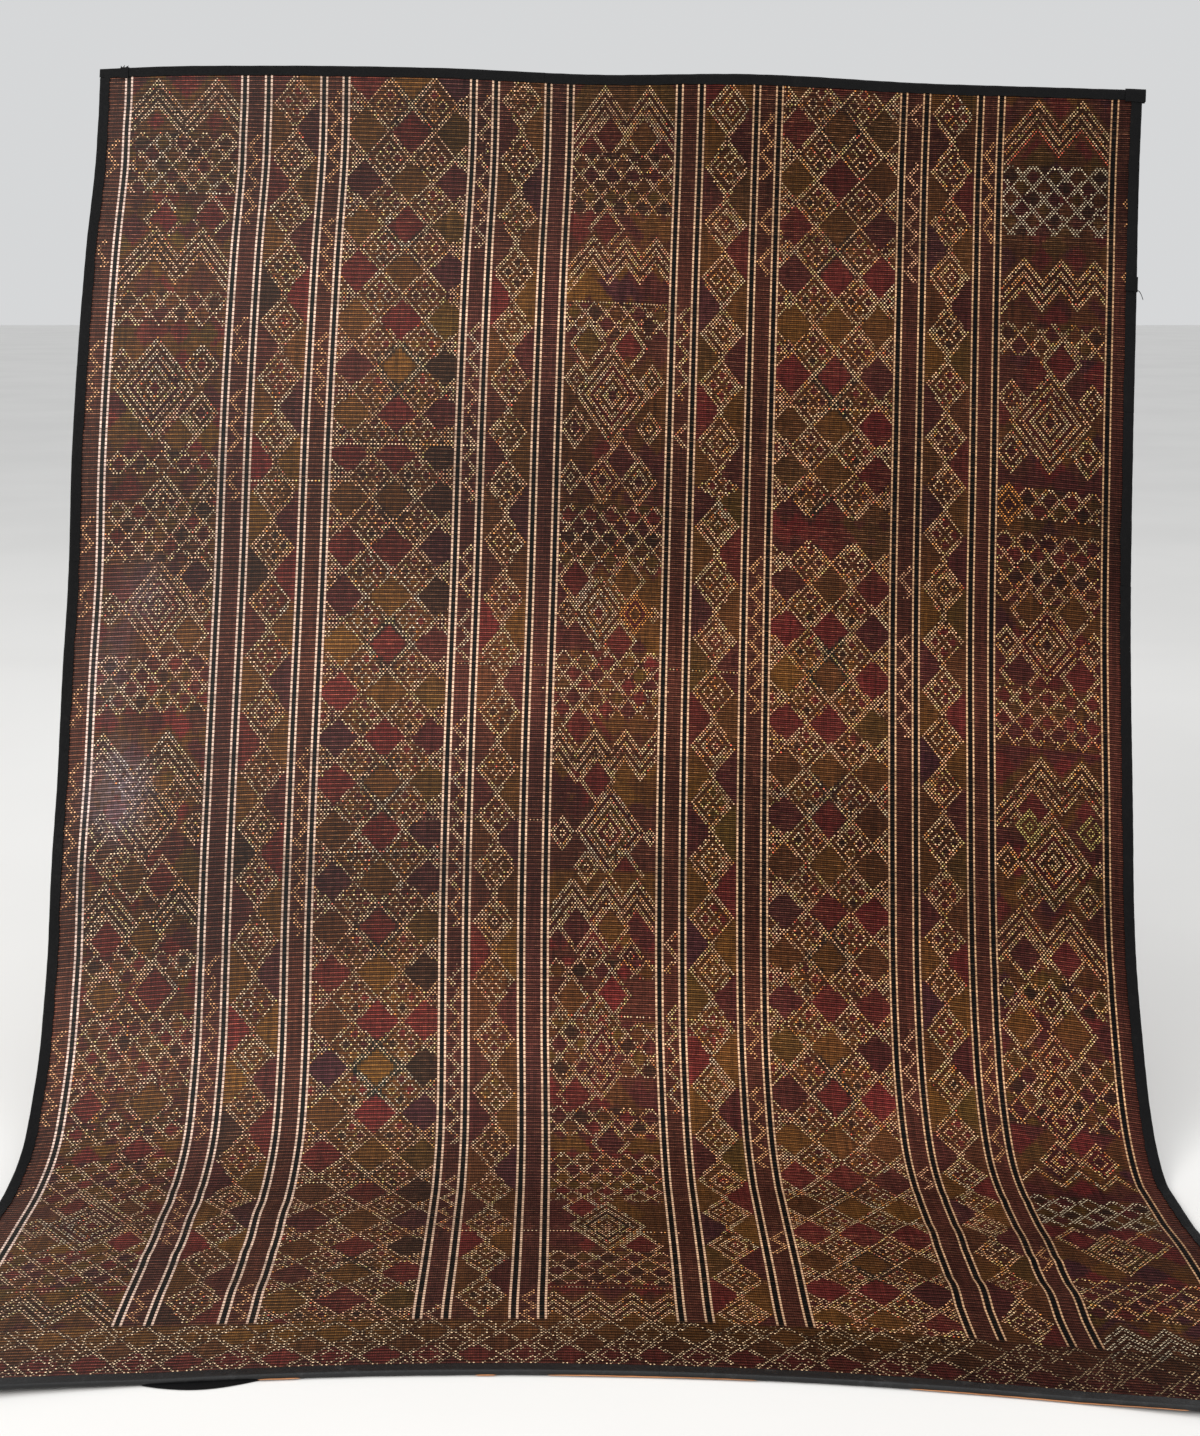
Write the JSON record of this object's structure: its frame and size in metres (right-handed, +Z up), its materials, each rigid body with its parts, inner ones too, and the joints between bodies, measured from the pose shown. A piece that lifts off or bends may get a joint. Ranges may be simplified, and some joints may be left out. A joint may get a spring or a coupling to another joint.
{
  "type": "woven reed and leather mat",
  "caption": "Reed and leather tuareg mat held up along its top edge, hanging and turned forward to lie on the floor, with black leather folded over all its edges.",
  "frame": {"origin": "middle of the mat's top edge, in the middle of its thickness, where it is held up; the floor is 1.685 m below", "axes": "+X along the reeds to the viewer's right, +Y away from the viewer, +Z up; the patterned face looks along -Y where it hangs and along +Z on the floor"},
  "size_m": [1.7925, 1.4323, 1.7002],
  "materials": {
    "reed_weave": "brown, maroon and straw weave of reeds and leather strips",
    "black_leather": "worn satin"
  },
  "bodies": {
    "root": {"woven_mat": "reed_weave", "binding_top_left": "black_leather", "binding_top_right": "black_leather", "binding_left_1": "black_leather", "binding_left_2": "black_leather", "binding_left_3": "black_leather", "binding_left_4": "black_leather", "binding_right_1": "black_leather", "binding_right_2": "black_leather", "binding_right_3": "black_leather", "binding_right_4": "black_leather", "binding_bottom_left": "black_leather", "binding_bottom_right": "black_leather"}
  },
  "joints": []
}
